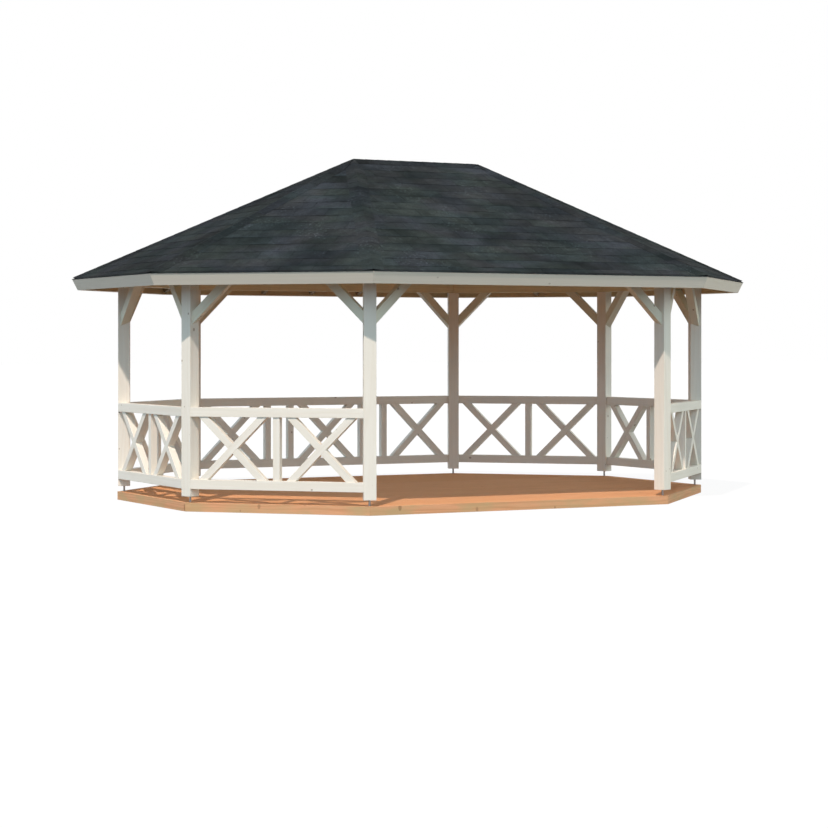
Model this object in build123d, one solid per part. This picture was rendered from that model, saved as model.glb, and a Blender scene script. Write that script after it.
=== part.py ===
from build123d import *
import os
from math import cos, radians, sin, sqrt, tan

# Garden gazebo: an octagon stretched along X, open on every side, with a hipped roof.
# Millimetres, +Z up, origin on the ground under the middle of the deck, entrance facing -Y.

# ---- driving dimensions ----
wall_reach = 2260          # middle to the outer face of the front wall
stretch = 732              # half the straight length added between the two half octagons
roof_pitch = radians(25)
eave_overhang = 410.6      # wall face to the top edge of the fascia
eave_height = 2257         # ground to that edge

deck_reach = 2245
deck_height = 84
floor_thick = 28
edge_board = 28
joist_width = 45
joist_spacing = 540
joists_each_side = 5

post_side = 120
post_foot = 142            # underside of the posts, held off the deck by pins
pin_diameter = 20

rail_side = 90             # square rails
bottom_rail = 216
top_rail = 905
infill_width = 68
infill_thick = 68
rear_studs = (450, 730)    # stud centres each side of the middle of the long rear railing

beam_set = 20              # ring beam behind the wall face
beam_thick = 90
beam_height = 140
brace_set = 25
brace_thick = 85
brace_depth = 85
brace_start = 1784         # where a brace's lower edge meets the post

roof_board = 19
rafter_depth = 90
rafter_width = 45
fascia_width = 120
fascia_thick = 20
long_rafters = (-600, 0, 600)
jack_start = 160           # jack rafters stop short of the crowded hips
hub_reach = 70
hub_height = 150
ridge_beam_height = 140

shingle_thick = 10
shingle_overhang = 4
cap_thick = 6
cap_width = 110
mitre_gap = 0.5

# ---- derived values ----
half_turn = tan(radians(22.5))
fascia_reach = wall_reach + eave_overhang
board_reach = fascia_reach - fascia_thick * cos(roof_pitch)

sides = ["front", "front_right", "right", "rear_right", "rear", "rear_left", "left", "front_left"]
corners = ["front_left", "front_right", "right_front", "right_rear",
           "rear_right", "rear_left", "left_rear", "left_front"]
railed = sides[1:]         # the front side is the entrance


def corner_angle(i):
    return radians(45 * i - 112.5)


def hip_foot(i):
    """The end of the ridge that corner i's hip runs to."""
    return Vector(stretch if cos(corner_angle(i)) > 0 else -stretch, 0, 0)


def corner(i, reach, z=0):
    """Corner i of the stretched octagon whose faces stand at this reach."""
    i = i % 8
    spread = reach / cos(radians(22.5))
    a = corner_angle(i)
    return hip_foot(i) + Vector(spread * cos(a), spread * sin(a), z)


def along(i):
    return (corner(i + 1, wall_reach) - corner(i, wall_reach)).normalized()


def half_length(i):
    return (corner(i + 1, wall_reach) - corner(i, wall_reach)).length / 2


def plan_plane(i):
    """Flat on the ground at the middle of side i: X along the wall, Y inwards."""
    middle = (corner(i, wall_reach) + corner(i + 1, wall_reach)) / 2
    return Plane(origin=middle, x_dir=along(i), z_dir=(0, 0, 1))


def wall_plane(i):
    """Upright on the outer face of side i: X along the wall, Y up, Z outwards."""
    ground = plan_plane(i)
    return Plane(origin=ground.origin, x_dir=ground.x_dir, z_dir=-ground.y_dir)


def upright(i, outline, depth, thick):
    """Extrude an outline drawn on the wall face into a board that starts at this depth."""
    face = make_face(Polyline(*outline, close=True))
    return extrude(wall_plane(i).location * Pos(0, 0, -depth) * face, -thick)


def block(first, last):
    """The solid between two matching rings of points."""
    count = len(first)
    faces = [Face(Wire.make_polygon(first)), Face(Wire.make_polygon(last))]
    for k in range(count):
        n = (k + 1) % count
        faces.append(Face(Wire.make_polygon([first[k], first[n], last[n], last[k]])))
    solid = Solid(Shell(faces))
    return solid if solid.volume > 0 else Solid(Shell([-face for face in faces]))


def mitred(i, section):
    """A board along side i with this (reach, z) section, mitred at both corners."""
    gap = along(i) * mitre_gap
    first = [corner(i, reach, z) + gap for reach, z in section]
    last = [corner(i + 1, reach, z) - gap for reach, z in section]
    return block(first, last)


def rectangle(reach, outer, low, high):
    return [(reach, low), (outer, low), (outer, high), (reach, high)]


# ---- deck ----
def make_floor():
    inner = deck_reach - edge_board
    outline = [corner(i, inner, deck_height - floor_thick) for i in range(8)]
    return extrude(make_face(Polyline(*outline, close=True)), floor_thick, dir=(0, 0, 1))


def make_edge_boards():
    section = rectangle(deck_reach - edge_board, deck_reach, 0, deck_height)
    return [mitred(i, section) for i in range(8)]


def make_joists():
    inner = deck_reach - edge_board
    straight = stretch + inner * half_turn
    joists = []
    for k in range(-joists_each_side, joists_each_side + 1):
        x = k * joist_spacing
        reach = inner - max(0, abs(x) + joist_width / 2 - straight)
        joists.append(Pos(x, 0, (deck_height - floor_thick) / 2)
                      * Box(joist_width, 2 * reach, deck_height - floor_thick))
    return joists


# ---- posts ----
def post_location(i):
    """The middle of post i, turned so that its faces are square to the corner."""
    inset = post_side / 2 * (1 + half_turn)
    a = corner_angle(i)
    return Pos(corner(i, wall_reach) - Vector(cos(a), sin(a), 0) * inset) * Rot(0, 0, 45 * i - 112.5)


def make_post(i):
    height = beam_bottom() - post_foot
    return post_location(i) * Pos(0, 0, post_foot + height / 2) * Box(post_side, post_side, height)


def make_pins():
    height = post_foot - deck_height
    return [post_location(i) * Pos(0, 0, deck_height + height / 2) * Cylinder(pin_diameter / 2, height)
            for i in range(8)]


def post_face(depth):
    """Distance from a corner, along the wall, to the post's side at this depth."""
    return post_side / 2 * (half_turn * sin(radians(22.5)) + cos(radians(22.5))) \
        + depth * half_turn


# ---- railings ----
def make_rail(i, z):
    outer = half_length(i) - post_face(0)
    inner = half_length(i) - post_face(rail_side)
    outline = [(-outer, 0), (outer, 0), (inner, rail_side), (-inner, rail_side)]
    face = make_face(Polyline(*outline, close=True))
    return extrude(plan_plane(i).location * Pos(0, 0, z) * face, rail_side)


def make_cross(i, middle):
    """Two bars crossing at 45 degrees between the rails."""
    low, high = bottom_rail + rail_side, top_rail
    run = (high - low) / 2
    foot = infill_width / sqrt(2)
    depth = (rail_side - infill_thick) / 2
    bars = []
    for way in (-1, 1):
        start, end = middle - way * run, middle + way * run
        outline = [(start - foot, low), (start + foot, low), (end + foot, high), (end - foot, high)]
        bars.append(upright(i, outline, depth, infill_thick))
    return bars[0] + bars[1]


def make_stud(i, middle):
    low, high = bottom_rail + rail_side, top_rail
    half = infill_width / 2
    outline = [(middle - half, low), (middle + half, low), (middle + half, high), (middle - half, high)]
    return upright(i, outline, (rail_side - infill_thick) / 2, infill_thick)


def make_railing(i):
    end = half_length(i) - post_face(rail_side / 2)
    if sides[i] == "rear":
        studs = [way * place for way in (-1, 1) for place in rear_studs]
        outer_cross = (rear_studs[1] + infill_width / 2 + end) / 2
        crosses = [-outer_cross, 0, outer_cross]
    else:
        studs = [0]
        crosses = [-(end + infill_width / 2) / 2, (end + infill_width / 2) / 2]
    panel = make_rail(i, bottom_rail) + make_rail(i, top_rail)
    for middle in studs:
        panel += make_stud(i, middle)
    for middle in crosses:
        panel += make_cross(i, middle)
    return panel


# ---- ring beams and knee braces ----
def roof_z(reach):
    """Height of the roof boards' top face at this reach."""
    return eave_height + (fascia_reach - reach) * tan(roof_pitch)


def under(reach, depth):
    """The point (reach, z) straight below the roof boards' top face, at this square depth."""
    return (reach, roof_z(reach) - depth / cos(roof_pitch))


def square_to(reach, depth):
    """The point (reach, z) square to the roof boards' top face, at this depth."""
    return (reach - depth * sin(roof_pitch), roof_z(reach) - depth * cos(roof_pitch))


def beam_top():
    return under(wall_reach - beam_set, roof_board + rafter_depth)[1]


def beam_bottom():
    return beam_top() - beam_height


def make_ring_beams():
    outer = wall_reach - beam_set
    section = rectangle(outer - beam_thick, outer, beam_bottom(), beam_top())
    return [mitred(i, section) for i in range(8)]


def make_brace(i, way):
    """The 45 degree brace at one end of side i: way -1 starts at corner i, 1 at the next."""
    contact = post_face(brace_set)
    rise = brace_depth * sqrt(2)
    buried = post_side / 2
    reach = beam_bottom() - brace_start + contact
    profile = [(buried, brace_start - contact + buried), (reach, beam_bottom()),
               (reach - rise, beam_bottom()), (buried, brace_start - contact + buried + rise)]
    outline = [(way * (half_length(i) - s), z) for s, z in profile]
    bar = upright(i, outline, brace_set, brace_thick)
    ground = plan_plane(i)
    side_of_post = Plane(origin=ground.from_local_coords((way * (half_length(i) - post_face(0)), 0, 0)),
                         z_dir=ground.x_dir * -way - ground.y_dir * half_turn)
    return split(bar, bisect_by=side_of_post, keep=Keep.TOP)


def make_post_braces(i):
    return [make_brace((i - 1) % 8, 1), make_brace(i, -1)]


# ---- roof frame ----
def make_hip_rafter(i):
    drop = rafter_width / 2 * sin(radians(22.5)) * tan(roof_pitch)
    start = hub_reach * cos(radians(22.5))
    end = board_reach - rafter_width * half_turn
    low = roof_board + rafter_depth
    top_start, top_end = under(start, roof_board), square_to(end, roof_board)
    bottom_end, bottom_start = square_to(end, low), under(start, low)
    section = [(top_start[0], top_start[1] - drop), (top_end[0], top_end[1] - drop),
               bottom_end, bottom_start]
    a = corner_angle(i)
    aside = Vector(-sin(a), cos(a), 0) * (rafter_width / 2)
    line = [corner(i, reach, z) for reach, z in section]
    return block([p + aside for p in line], [p - aside for p in line])


def make_rafter(i, place, start):
    """A rafter square to side i, its middle at this place along the wall."""
    low = roof_board + rafter_depth
    section = [under(start, roof_board), square_to(board_reach, roof_board),
               square_to(board_reach, low), under(start, low)]
    ground = plan_plane(i)
    ends = []
    for shift in (-rafter_width / 2, rafter_width / 2):
        ends.append([ground.from_local_coords((place + shift, wall_reach - reach, z))
                     for reach, z in section])
    return block(*ends)


def make_long_rafters():
    return [make_rafter(i, place, rafter_width / 2) for i in (0, 4) for place in long_rafters]


def make_jack_rafters():
    return [make_rafter(i, 0, jack_start) for i in (1, 2, 3, 5, 6, 7)]


def ridge_beam_top():
    return under(rafter_width / 2, roof_board)[1]


def make_ridge_beam():
    length = 2 * (stretch - hub_reach)
    return (Pos(0, 0, ridge_beam_top() - ridge_beam_height / 2)
            * Box(length, rafter_width, ridge_beam_height))


def make_hub(way):
    """The block at one end of the ridge, with a flat face for each rafter and for the ridge beam."""
    normals = [-67.5, -22.5, 22.5, 67.5, 123.75, 180, 236.25]
    top = under(hub_reach / cos(radians(28.125)), roof_board)[1]
    points = []
    for k, normal in enumerate(normals):
        following = normals[k + 1] if k + 1 < len(normals) else normals[0] + 360
        half = radians((following - normal) / 2)
        a = radians(normal) + half
        spread = hub_reach / cos(half)
        points.append((way * (stretch + spread * cos(a)), spread * sin(a), top))
    return extrude(make_face(Polyline(*points, close=True)), hub_height, dir=(0, 0, -1))


# ---- roof skin ----
def facet(i, reach, depth, square):
    """Corner points of roof facet i at this depth: eave edge first, then the ridge."""
    eave = square_to(reach, depth) if square else under(reach, depth)
    points = [corner(i, *eave), corner(i + 1, *eave)]
    top = under(0, depth)[1]
    ends = [hip_foot((i + 1) % 8), hip_foot(i)]
    if ends[0] == ends[1]:
        ends = ends[:1]
    return points + [Vector(end.X, end.Y, top) for end in ends]


def make_roof_panel(i):
    return block(facet(i, board_reach, roof_board, True), facet(i, board_reach, 0, True))


def make_fascia():
    section = [square_to(fascia_reach, 0), square_to(board_reach, 0),
               square_to(board_reach, fascia_width), square_to(fascia_reach, fascia_width)]
    return [mitred(i, section) for i in range(8)]


def make_shingles():
    reach = fascia_reach + shingle_overhang
    skin = [block(facet(i, reach, 0, True), facet(i, reach, -shingle_thick, True)) for i in range(8)]
    return skin[0].fuse(*skin[1:])


def cap_strip(i, outline):
    """A strip on roof facet i; its outline is in (reach, place along the wall)."""
    ground = plan_plane(i)
    rings = []
    for lift in (shingle_thick, shingle_thick + cap_thick):
        rings.append([ground.from_local_coords((place, wall_reach - reach, under(reach, -lift)[1]))
                      for reach, place in outline])
    return block(*rings)


def make_caps():
    reach = fascia_reach + shingle_overhang
    strips = []
    for i in range(8):
        top = half_length(i) - wall_reach * half_turn
        foot = top + reach * half_turn
        for way in (-1, 1):
            inner = [(reach, way * (foot - cap_width))]
            if i in (0, 4):
                inner.append((0, way * (top - cap_width)))
            else:
                inner.append((cap_width / half_turn, 0))
            strips.append(cap_strip(i, [(0, way * top), (reach, way * foot)] + inner))
        if i in (0, 4):
            strips.append(cap_strip(i, [(0, -top), (0, top), (cap_width, top), (cap_width, -top)]))
    return strips[0].fuse(*strips[1:])


# ---- the whole gazebo ----
def collect():
    nodes = {"deck_floor": make_floor(), "deck_edge_boards": make_edge_boards(),
             "deck_joists": make_joists(), "post_pins": make_pins()}
    for i, name in enumerate(corners):
        nodes["post_" + name] = make_post(i)
    for i, name in enumerate(sides):
        if name in railed:
            nodes["railing_" + name] = make_railing(i)
    nodes["ring_beams"] = make_ring_beams()
    for i, name in enumerate(corners):
        nodes["braces_" + name] = make_post_braces(i)
    nodes["hip_rafters"] = [make_hip_rafter(i) for i in range(8)]
    nodes["long_rafters"] = make_long_rafters()
    nodes["jack_rafters"] = make_jack_rafters()
    nodes["ridge_beam"] = make_ridge_beam()
    nodes["ridge_hubs"] = [make_hub(way) for way in (-1, 1)]
    for i, name in enumerate(sides):
        nodes["roof_" + name] = make_roof_panel(i)
    nodes["fascia_boards"] = make_fascia()
    nodes["roof_shingles"] = make_shingles()
    nodes["ridge_and_hip_caps"] = make_caps()
    return nodes


os.makedirs("parts", exist_ok=True)
for name, shape in collect().items():
    solids = shape if isinstance(shape, list) else [shape]
    solids = [solid for item in solids for solid in item.solids()]
    whole = Compound(solids) if len(solids) > 1 else solids[0]
    export_step(whole, f"parts/{name}.step")
    print(name, len(solids), round(sum(s.volume for s in solids) / 1e9, 5), "m3",
          all(s.is_valid for s in solids))
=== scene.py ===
import random
from math import atan, ceil, cos, pi, radians, sin, sqrt, tan

import bmesh
import bpy
from mathutils import Matrix, Vector


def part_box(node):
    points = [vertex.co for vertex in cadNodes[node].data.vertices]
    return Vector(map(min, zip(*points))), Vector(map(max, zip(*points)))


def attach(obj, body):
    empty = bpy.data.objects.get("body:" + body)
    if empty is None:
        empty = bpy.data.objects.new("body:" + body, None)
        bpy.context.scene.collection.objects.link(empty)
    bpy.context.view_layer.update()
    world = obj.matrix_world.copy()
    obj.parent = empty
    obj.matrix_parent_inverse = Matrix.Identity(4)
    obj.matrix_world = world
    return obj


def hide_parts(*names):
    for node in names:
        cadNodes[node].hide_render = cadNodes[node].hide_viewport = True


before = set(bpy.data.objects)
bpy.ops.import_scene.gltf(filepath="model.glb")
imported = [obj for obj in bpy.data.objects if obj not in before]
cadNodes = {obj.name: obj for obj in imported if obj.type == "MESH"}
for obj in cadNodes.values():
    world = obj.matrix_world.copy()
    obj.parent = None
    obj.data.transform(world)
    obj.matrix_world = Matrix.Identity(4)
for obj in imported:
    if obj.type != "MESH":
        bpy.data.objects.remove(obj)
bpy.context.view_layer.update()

# The plan is an octagon stretched along X; its measures are read back from the frame
sideTurn = 45
cornerTurn = radians(sideTurn / 2)
halfTurn = tan(cornerTurn)
roofPitch = radians(25)
sideNames = ["front", "front_right", "right", "rear_right", "rear", "rear_left", "left", "front_left"]
postNames = ["front_left", "front_right", "right_front", "right_rear",
             "rear_right", "rear_left", "left_rear", "left_front"]

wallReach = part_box("railing_rear")[1][1]
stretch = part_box("railing_right")[1][0] - wallReach
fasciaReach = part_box("fascia_boards")[1][1]
roofRise = fasciaReach * tan(roofPitch)
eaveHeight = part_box("roof_front")[1][2] - roofRise
ridgeEnds = [Vector((x, 0, eaveHeight + roofRise)) for x in (-stretch, stretch)]


def cornerPoint(i, reach, z=0.0):
    angle = radians(sideTurn * (i % 8 - 2.5))
    spread = reach / cos(cornerTurn)
    shift = stretch if cos(angle) > 0 else -stretch
    return Vector((shift + spread * cos(angle), spread * sin(angle), z))


def sideMatrix(i, reach=wallReach, height=0.0):
    # X along side i, Y inwards, Z up, from the middle of the side at this reach and height
    middle = (cornerPoint(i, reach, height) + cornerPoint(i + 1, reach, height)) / 2
    return Matrix.Translation(middle) @ Matrix.Rotation(radians(sideTurn * i), 4, "Z")


def halfStretch(i):
    return stretch if i in (0, 4) else 0.0


def facetMatrix(i):
    # X along the eave, Y up the slope, Z square to it, from the middle of the eave edge of the roof boards
    return sideMatrix(i, fasciaReach, eaveHeight) @ Matrix.Rotation(roofPitch, 4, "X")


print("frame loaded:", round(wallReach, 4), round(stretch, 4), round(fasciaReach, 4), round(eaveHeight, 4))


def put(tree, kind, inputs=None, **settings):
    item = tree.nodes.new(kind)
    for key, value in settings.items():
        setattr(item, key, value)
    for key, value in (inputs or {}).items():
        if isinstance(value, bpy.types.NodeSocket):
            tree.links.new(value, item.inputs[key])
        else:
            item.inputs[key].default_value = value
    return item


def get(tree, kind, inputs=None, **settings):
    # puts a node and gives its first output
    return put(tree, kind, inputs, **settings).outputs[0]


def calc(tree, operation, *values):
    return get(tree, "ShaderNodeMath", dict(enumerate(values)), operation=operation)


def chained(operation):
    # a function that joins any number of values with this operation, from the left
    def joined(tree, first, *others):
        for other in others:
            first = calc(tree, operation, first, other)
        return first
    return joined


add, minus, times, over, larger, smaller = [
    chained(operation) for operation in ("ADD", "SUBTRACT", "MULTIPLY", "DIVIDE", "MAXIMUM", "MINIMUM")]


def absolute(tree, value):
    return calc(tree, "ABSOLUTE", value)


def joinXyz(tree, x, y, z):
    return get(tree, "ShaderNodeCombineXYZ", {"X": x, "Y": y, "Z": z})


def splitXyz(tree, vector):
    return put(tree, "ShaderNodeSeparateXYZ", {0: vector}).outputs


def addVectors(tree, a, b):
    return get(tree, "ShaderNodeVectorMath", {0: a, 1: b}, operation="ADD")


def stretched(tree, parts, along, across):
    x, y, z = parts
    return joinXyz(tree, times(tree, x, along), times(tree, y, across), times(tree, z, across))


def newTree(name, kind, inputs, outputs):
    # a number is an input's first value, a word is the kind of its socket
    tree = bpy.data.node_groups.new(name, kind)
    for label, value in inputs.items():
        word = value if isinstance(value, str) else "Int" if isinstance(value, int) else "Float"
        socket = tree.interface.new_socket(label, in_out="INPUT", socket_type="NodeSocket" + word)
        if word != value:
            socket.default_value = value
    for label, word in outputs.items():
        tree.interface.new_socket(label, in_out="OUTPUT", socket_type="NodeSocket" + word)
    return tree, tree.nodes.new("NodeGroupInput").outputs, tree.nodes.new("NodeGroupOutput").inputs


def newPiece():
    return {"points": [], "faces": [], "grain": [], "sideShade": []}


def sideAt(place):
    # the side of the gazebo that this place is nearest to
    return min(range(8), key=lambda i: (place.xy - sideMatrix(i).translation.xy).length)


def eased(bm, width):
    # takes the sharp outer edges off a board
    bmesh.ops.recalc_face_normals(bm, faces=bm.faces)
    edges = [e for e in bm.edges if e.is_convex and e.calc_face_angle(0) > 0.3]
    bmesh.ops.bevel(bm, geom=edges, offset=width, segments=2, profile=0.6, affect="EDGES", clamp_overlap=True)


def addBoard(piece, bm, matrix, shift):
    first = len(piece["points"])
    bm.verts.index_update()
    for vert in bm.verts:
        piece["points"].append(matrix @ vert.co)
        piece["grain"].append(vert.co + shift)
    for face in bm.faces:
        piece["faces"].append([first + vert.index for vert in face.verts])
    bm.free()


grainShift = 40  # each board takes its figure from a place up to this far away


def randomShift(rng):
    return Vector([rng.uniform(-grainShift, grainShift) for _ in range(3)])


def newObject(name, data):
    made = bpy.data.objects.new(name, data)
    bpy.context.scene.collection.objects.link(made)
    return made


def makeObject(name, mesh, material, slot, *replaced):
    made = newObject(name, mesh)
    mesh.materials.clear()
    mesh.materials.append(material)
    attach(made, "root")
    if replaced:
        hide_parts(*replaced)
    return made


def pieceMesh(name, piece):
    mesh = bpy.data.meshes.new(name)
    mesh.from_pydata(piece["points"], [], piece["faces"])
    layer = mesh.attributes.new("grain", "FLOAT_VECTOR", "POINT")
    layer.data.foreach_set("vector", [value for point in piece["grain"] for value in point])
    if piece["sideShade"]:
        mesh.attributes.new("sideShade", "FLOAT", "POINT").data.foreach_set("value", piece["sideShade"])
    mesh.validate()
    return mesh


def solidsOf(node):
    # the separate solids of a CAD node, each as its own welded bmesh
    whole = bmesh.new()
    whole.from_mesh(cadNodes[node].data)
    bmesh.ops.remove_doubles(whole, verts=whole.verts, dist=1e-5)
    bmesh.ops.dissolve_limit(whole, angle_limit=0.01, verts=whole.verts, edges=whole.edges)
    left = set(whole.verts)
    solids = []
    while left:
        group, edge = set(), [next(iter(left))]
        while edge:
            vert = edge.pop()
            if vert not in group:
                group.add(vert)
                edge += [e.other_vert(vert) for e in vert.link_edges]
        left -= group
        solids.append(group)
    solids.sort(key=lambda group: min((round(v.co.x, 3), round(v.co.y, 3), round(v.co.z, 3)) for v in group))
    result = []
    for group in solids:
        bm = bmesh.new()
        made = {v: bm.verts.new(v.co) for v in sorted(group, key=lambda v: v.index)}
        for face in whole.faces:
            if face.verts[0] in group:
                bm.faces.new([made[v] for v in face.verts])
        result.append(bm)
    whole.free()
    return result


def boardMatrix(bm):
    # local axes of a board: X along its longest edge, Z square to its largest face
    longest = max(bm.edges, key=lambda e: round(e.calc_length(), 4))
    along = (longest.verts[1].co - longest.verts[0].co).normalized()
    flat = max(bm.faces, key=lambda f: round(f.calc_area() * (1 - abs(f.normal.dot(along))), 6))
    up = (flat.normal - along * flat.normal.dot(along)).normalized()
    matrix = Matrix((along, up.cross(along), up)).transposed().to_4x4()
    middle = sum((v.co for v in bm.verts), Vector()) / len(bm.verts)
    return Matrix.Translation(middle) @ matrix


def dressNode(node, material, slot, easing, seed, tones=None):
    rng = random.Random(seed)
    piece = newPiece()
    for bm in solidsOf(node):
        bm.normal_update()
        matrix = boardMatrix(bm)
        bmesh.ops.transform(bm, matrix=matrix.inverted(), verts=bm.verts)
        eased(bm, easing)
        # painted light and shade: every board gets its side's lighter or darker factor
        if tones:
            piece["sideShade"] += [tones[sideNames[sideAt(matrix.translation)]]] * len(bm.verts)
        addBoard(piece, bm, matrix, randomShift(rng))
    return makeObject(node + "_timber", pieceMesh(node, piece), material, slot, node)


def startMaterial(name):
    material = bpy.data.materials.new(name)
    material.use_nodes = True
    tree = material.node_tree
    tree.nodes.clear()
    shader = tree.nodes.new("ShaderNodeBsdfPrincipled")
    output = tree.nodes.new("ShaderNodeOutputMaterial")
    tree.links.new(shader.outputs[0], output.inputs[0])
    return material, tree, shader


def attribute(tree, name, output="Fac"):
    return put(tree, "ShaderNodeAttribute", attribute_type="GEOMETRY", attribute_name=name).outputs[output]


def objectPlace(tree):
    return put(tree, "ShaderNodeTexCoord").outputs["Object"]


def ranged(tree, value, low, high, first=0.0, last=1.0, kind="LINEAR"):
    return get(tree, "ShaderNodeMapRange", {0: value, 1: low, 2: high, 3: first, 4: last},
               interpolation_type=kind)


def noise(tree, vector, scale, detail=2.0, roughness=0.5):
    return get(tree, "ShaderNodeTexNoise", {"Vector": vector, "Scale": scale, "Detail": detail,
                                            "Roughness": roughness})


def voronoi(tree, vector, scale, randomness=1.0):
    return put(tree, "ShaderNodeTexVoronoi", {"Vector": vector, "Scale": scale,
                                              "Randomness": randomness}).outputs


def rgba(colour):
    # adds the alpha to a plain colour; a socket stays as it is
    return (*colour, 1.0) if isinstance(colour, (tuple, list)) and len(colour) == 3 else colour


def grey(tree, value):
    return joinXyz(tree, value, value, value)


def mixColour(tree, factor, a, b, blend="MIX"):
    return put(tree, "ShaderNodeMix", {0: factor, 6: rgba(a), 7: rgba(b)}, data_type="RGBA",
               blend_type=blend).outputs[2]


def tinted(tree, colour, tint):
    return mixColour(tree, 1.0, colour, tint, blend="MULTIPLY")


def bumped(tree, shader, height, strength, distance):
    bump = get(tree, "ShaderNodeBump", {"Strength": strength, "Distance": distance, "Height": height})
    tree.links.new(bump, shader.inputs["Normal"])


def mattFinish(shader, roughness, gloss):
    shader.inputs["Roughness"].default_value = roughness
    shader.inputs["Specular IOR Level"].default_value = gloss


figureValues = {
    "knotCrowding": 0.22,  # spacing of the knots across the board, over that along it
    "knotFlatness": 0.75,
    "knotJitter": 0.95,
    "smallestKnot": 0.35,  # in knot sizes, and how much larger the largest is
    "knotSpread": 1.1,
    "rimPace": 3.5,
    "ringBend": 0.010,
    "ringLength": 0.05,
    "warpPace": 9.0,
    "warpDepth": 34.0,
    "fibrePace": (6.0, 260.0),  # along and across the board
    "patchPace": 9.0,
}


def timberGroup():
    # growth rings, fibres and knots, from the board's own coordinates
    values = figureValues
    tree, given, result = newTree("timberFigure", "ShaderNodeTree", {
        "Vector": "Vector", "Ring Spacing": 0.006, "Knot Spacing": 0.40, "Knot Size": 0.011,
        "Knot Stretch": 1.0, "Patch Pace": 1.3,
    }, dict.fromkeys(("Rings", "Fibres", "Knots", "Knot Edge", "Patches"), "Float"))
    x, y, z = splitXyz(tree, given["Vector"])
    # knots: one point in each stretched cell, measured back in real metres
    spacing = given["Knot Spacing"]
    acrossSpacing = times(tree, spacing, values["knotCrowding"])
    cells = joinXyz(tree, over(tree, x, spacing), over(tree, y, acrossSpacing), over(tree, z, acrossSpacing))
    nearest = voronoi(tree, cells, 1.0, values["knotJitter"])
    offset = get(tree, "ShaderNodeVectorMath", {0: cells, 1: nearest["Position"]}, operation="SUBTRACT")
    real = stretched(tree, splitXyz(tree, offset), times(tree, spacing, values["knotFlatness"]),
                     over(tree, acrossSpacing, given["Knot Stretch"]))
    away = put(tree, "ShaderNodeVectorMath", {0: real}, operation="LENGTH").outputs["Value"]
    pick = splitXyz(tree, nearest["Color"])[0]
    share = add(tree, times(tree, pick, values["knotSpread"]), values["smallestKnot"])
    ratio = over(tree, away, times(tree, given["Knot Size"], share))
    tree.links.new(ranged(tree, ratio, 0.75, 1.0, 1.0, 0.0, "SMOOTHSTEP"), result["Knots"])
    rim = minus(tree, 1.0, times(tree, absolute(tree, minus(tree, ratio, 1.0)), values["rimPace"]))
    tree.links.new(larger(tree, rim, 0.0), result["Knot Edge"])
    # rings bend round the knots
    bend = over(tree, values["ringBend"], add(tree, times(tree, ratio, ratio), 1.5))
    bentY = add(tree, y, bend)
    warp = noise(tree, joinXyz(tree, times(tree, x, values["ringLength"]), bentY, z), values["warpPace"])
    wavy = add(tree, over(tree, bentY, given["Ring Spacing"]), times(tree, warp, values["warpDepth"]))
    ring = add(tree, times(tree, calc(tree, "SINE", wavy), 0.5), 0.5)
    tree.links.new(calc(tree, "POWER", ring, 2.0), result["Rings"])
    thin = stretched(tree, (x, y, z), *values["fibrePace"])
    tree.links.new(noise(tree, thin, 1.0, 3.0, 0.6), result["Fibres"])
    broad = stretched(tree, (x, y, z), given["Patch Pace"], values["patchPace"])
    tree.links.new(noise(tree, broad, 1.0, 3.0), result["Patches"])
    return tree


timberFigure = timberGroup()


def timberMaterial(look):
    # each board differs a little because its coordinates are shifted
    material, tree, shader = startMaterial(look["name"])
    place = attribute(tree, "grain", "Vector")
    figure = put(tree, "ShaderNodeGroup", {"Vector": place}, node_tree=timberFigure)
    for socket in figure.inputs[1:]:
        socket.default_value = look[socket.name]
    rings, fibres, knots, rim, patches = figure.outputs
    colour = look["light"]
    for factor, layer in ((times(tree, rings, look["ringStrength"]), "dark"),
                          (ranged(tree, fibres, 0.35, 0.75, 0.0, look["fibreStrength"]), "dark"),
                          (ranged(tree, patches, 0.35, 0.7, 0.0, look["patchStrength"]), "patch"),
                          (times(tree, rim, look["knotStrength"] * 0.8), "knotRim"),
                          (times(tree, knots, look["knotStrength"]), "knot")):
        colour = mixColour(tree, factor, colour, look[layer])
    # painted light and shade, one factor for each side of the gazebo
    if "tones" in look:
        colour = tinted(tree, colour, grey(tree, attribute(tree, "sideShade")))
    if "inside" in look:
        colour = mixColour(tree, attribute(tree, "inside"), colour, look["inside"])
    tree.links.new(colour, shader.inputs["Base Color"])
    shader.inputs["Specular IOR Level"].default_value = look["gloss"]
    rough = add(tree, times(tree, fibres, 0.25), look["roughness"] - 0.12)
    tree.links.new(rough, shader.inputs["Roughness"])
    height = minus(tree, add(tree, times(tree, rings, 0.5), fibres), times(tree, rim, 0.8))
    bumped(tree, shader, height, look["bump"], 0.0006)
    return material


glazedLook = {
    "name": "creamGlaze",
    "light": (0.88, 0.83, 0.745),
    "dark": (0.78, 0.70, 0.58),
    "patch": (0.82, 0.76, 0.66),
    "knot": (0.36, 0.25, 0.16),
    "knotRim": (0.25, 0.17, 0.11),
    "ringStrength": 0.30,
    "fibreStrength": 0.26,
    "patchStrength": 0.5,
    "knotStrength": 0.75,
    "roughness": 0.55,
    "gloss": 0.4,
    "bump": 0.35,
    "Ring Spacing": 0.006,
    "Knot Spacing": 0.42,
    "Knot Size": 0.0075,
    "Knot Stretch": 1.0,
    "Patch Pace": 1.3,
}
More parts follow.
